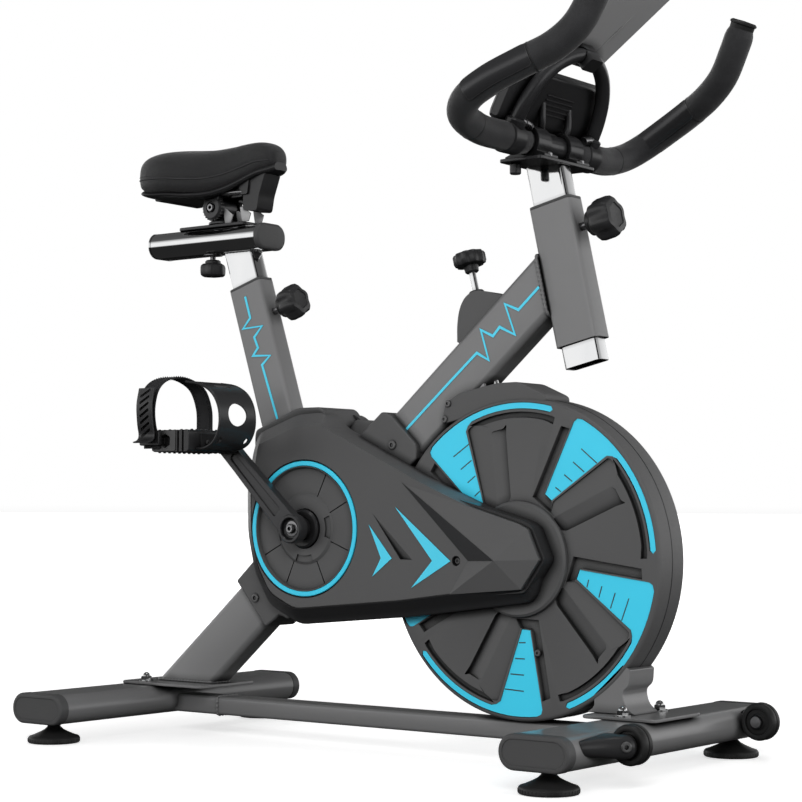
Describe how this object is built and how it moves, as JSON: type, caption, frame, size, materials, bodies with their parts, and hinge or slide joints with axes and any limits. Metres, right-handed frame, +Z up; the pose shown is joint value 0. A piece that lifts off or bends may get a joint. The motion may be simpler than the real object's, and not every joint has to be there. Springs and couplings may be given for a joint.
{
  "type": "indoor cycling bike",
  "caption": "Belt-driven indoor cycling bike with an enclosed flywheel, adjustable saddle and handlebar, toe-cage pedals, friction brake knob, levelling feet and transport wheels.",
  "frame": {"origin": "centre of the bounding box in plan, on the floor the levelling feet stand on", "axes": "+X forward towards the handlebar, +Y to the rider's left, +Z up"},
  "size_m": [0.943, 0.5, 0.9901],
  "materials": {
    "frame": "gloss",
    "plastic": "satin",
    "chrome": "polished",
    "steel": "satin",
    "iron": "matte",
    "rubber": "matte",
    "foam": "matte",
    "leather": "satin",
    "grey": "satin"
  },
  "bodies": {
    "frame": {"rear_stabiliser": "frame", "rear_cap_right": "plastic", "rear_cap_left": "plastic", "front_stabiliser": "frame", "front_cap_right": "plastic", "front_cap_left": "plastic", "wheel_bracket_right": "plastic", "wheel_bracket_left": "plastic", "bottom_rail": "frame", "rear_plate": "frame", "front_plate": "frame", "main_beam": "frame", "seat_tube": "frame", "head_tube": "frame", "bracket_shell": "steel", "drive_belt": "rubber", "fork_leg_right": "steel", "fork_leg_left": "steel", "fork_foot": "frame", "drum_cover_right": "plastic", "drum_cover_left": "plastic", "brake_cover": "plastic", "belt_guard_right": "plastic", "belt_guard_left": "plastic"},
    "crank": {"crank_axle": "steel", "crank_arm_right": "frame", "crank_arm_left": "frame", "crank_pulley": "plastic"},
    "flywheel": {"flywheel": "iron", "flywheel_pulley": "steel"},
    "pedal_right": {"pedal_right": "plastic", "toe_cage_right": "plastic"},
    "pedal_left": {"pedal_left": "plastic", "toe_cage_left": "plastic"},
    "seat_post": {"seat_post": "chrome", "seat_bar": "chrome", "seat_bar_cap": "grey", "seat_bar_end": "chrome"},
    "carriage": {"saddle_carriage": "frame", "saddle_clamp": "frame"},
    "carriage_knob": {"carriage_knob": "plastic"},
    "saddle": {"saddle_rails": "steel", "saddle_base": "plastic", "saddle_pad": "leather"},
    "seat_knob": {"seat_post_knob": "plastic"},
    "handlebars": {"handlebar_post": "chrome", "handlebar_clamp": "frame", "handlebar": "foam", "handlebar_loop": "frame", "console": "plastic"},
    "bar_knob": {"handlebar_post_knob": "plastic"},
    "device_rest": {"device_rest": "grey"},
    "brake": {"brake_knob": "plastic", "brake_pad": "rubber"},
    "wheel_right": {"transport_wheel_right": "rubber"},
    "wheel_left": {"transport_wheel_left": "rubber"},
    "foot_rear_right": {"foot_rear_right": "rubber"},
    "foot_rear_left": {"foot_rear_left": "rubber"},
    "foot_front_right": {"foot_front_right": "rubber"},
    "foot_front_left": {"foot_front_left": "rubber"}
  },
  "joints": [
    {"name": "flywheel_spin", "type": "hinge", "parent": "frame", "child": "flywheel", "pos_m": [0.216, 0, 0.2555], "axis": [0, 1, 0], "continuous": true},
    {"name": "crank_spin", "type": "hinge", "parent": "frame", "child": "crank", "pos_m": [-0.105, 0, 0.291], "axis": [0, 1, 0], "continuous": true},
    {"name": "pedal_right_spin", "type": "hinge", "parent": "crank", "child": "pedal_right", "pos_m": [-0.22686, -0.144, 0.40664], "axis": [0, 1, 0], "continuous": true},
    {"name": "pedal_left_spin", "type": "hinge", "parent": "crank", "child": "pedal_left", "pos_m": [0.01686, 0.144, 0.17536], "axis": [0, 1, 0], "continuous": true},
    {"name": "seat_height", "type": "slide", "parent": "frame", "child": "seat_post", "axis": [-0.3049, 0, 0.9524], "range_m": [0, 0.12]},
    {"name": "saddle_slide", "type": "slide", "parent": "seat_post", "child": "carriage", "axis": [1, 0, 0], "range_m": [-0.038, 0.016]},
    {"name": "carriage_knob_turn", "type": "hinge", "parent": "carriage", "child": "carriage_knob", "pos_m": [-0.331, 0, 0.66], "axis": [0, 0, 1], "continuous": true},
    {"name": "saddle_tilt", "type": "hinge", "parent": "carriage", "child": "saddle", "pos_m": [-0.312, 0, 0.744], "axis": [0, 1, 0], "range_deg": [-5, 5]},
    {"name": "seat_knob_turn", "type": "hinge", "parent": "frame", "child": "seat_knob", "pos_m": [-0.24277, 0, 0.58339], "axis": [0.9524, 0, 0.3049], "continuous": true},
    {"name": "bar_height", "type": "slide", "parent": "frame", "child": "handlebars", "axis": [-0.2207, 0, 0.9753], "range_m": [0, 0.1]},
    {"name": "bar_knob_turn", "type": "hinge", "parent": "frame", "child": "bar_knob", "pos_m": [0.26039, 0, 0.66294], "axis": [0.9753, 0, 0.2207], "continuous": true},
    {"name": "rest_tilt", "type": "hinge", "parent": "handlebars", "child": "device_rest", "pos_m": [0.29775, 0, 0.8836], "axis": [0, 1, 0], "range_deg": [-10, 20]},
    {"name": "brake_press", "type": "slide", "parent": "frame", "child": "brake", "axis": [0.2434, 0, -0.9699], "range_m": [0, 0.006], "stiffness_N_per_m": 2500, "springref_m": -0.001},
    {"name": "wheel_right_spin", "type": "hinge", "parent": "frame", "child": "wheel_right", "pos_m": [0.4525, -0.156, 0.054], "axis": [0, 1, 0], "continuous": true},
    {"name": "wheel_left_spin", "type": "hinge", "parent": "frame", "child": "wheel_left", "pos_m": [0.4525, 0.156, 0.054], "axis": [0, 1, 0], "continuous": true},
    {"name": "foot_rear_right_turn", "type": "hinge", "parent": "frame", "child": "foot_rear_right", "pos_m": [-0.42, -0.215, 0], "axis": [0, 0, 1], "continuous": true},
    {"name": "foot_rear_left_turn", "type": "hinge", "parent": "frame", "child": "foot_rear_left", "pos_m": [-0.42, 0.215, 0], "axis": [0, 0, 1], "continuous": true},
    {"name": "foot_front_right_turn", "type": "hinge", "parent": "frame", "child": "foot_front_right", "pos_m": [0.38, -0.215, 0], "axis": [0, 0, 1], "continuous": true},
    {"name": "foot_front_left_turn", "type": "hinge", "parent": "frame", "child": "foot_front_left", "pos_m": [0.38, 0.215, 0], "axis": [0, 0, 1], "continuous": true}
  ],
  "couplings": [
    {"joint": "crank_spin", "follows": "flywheel_spin", "ratio": 0.3}
  ]
}
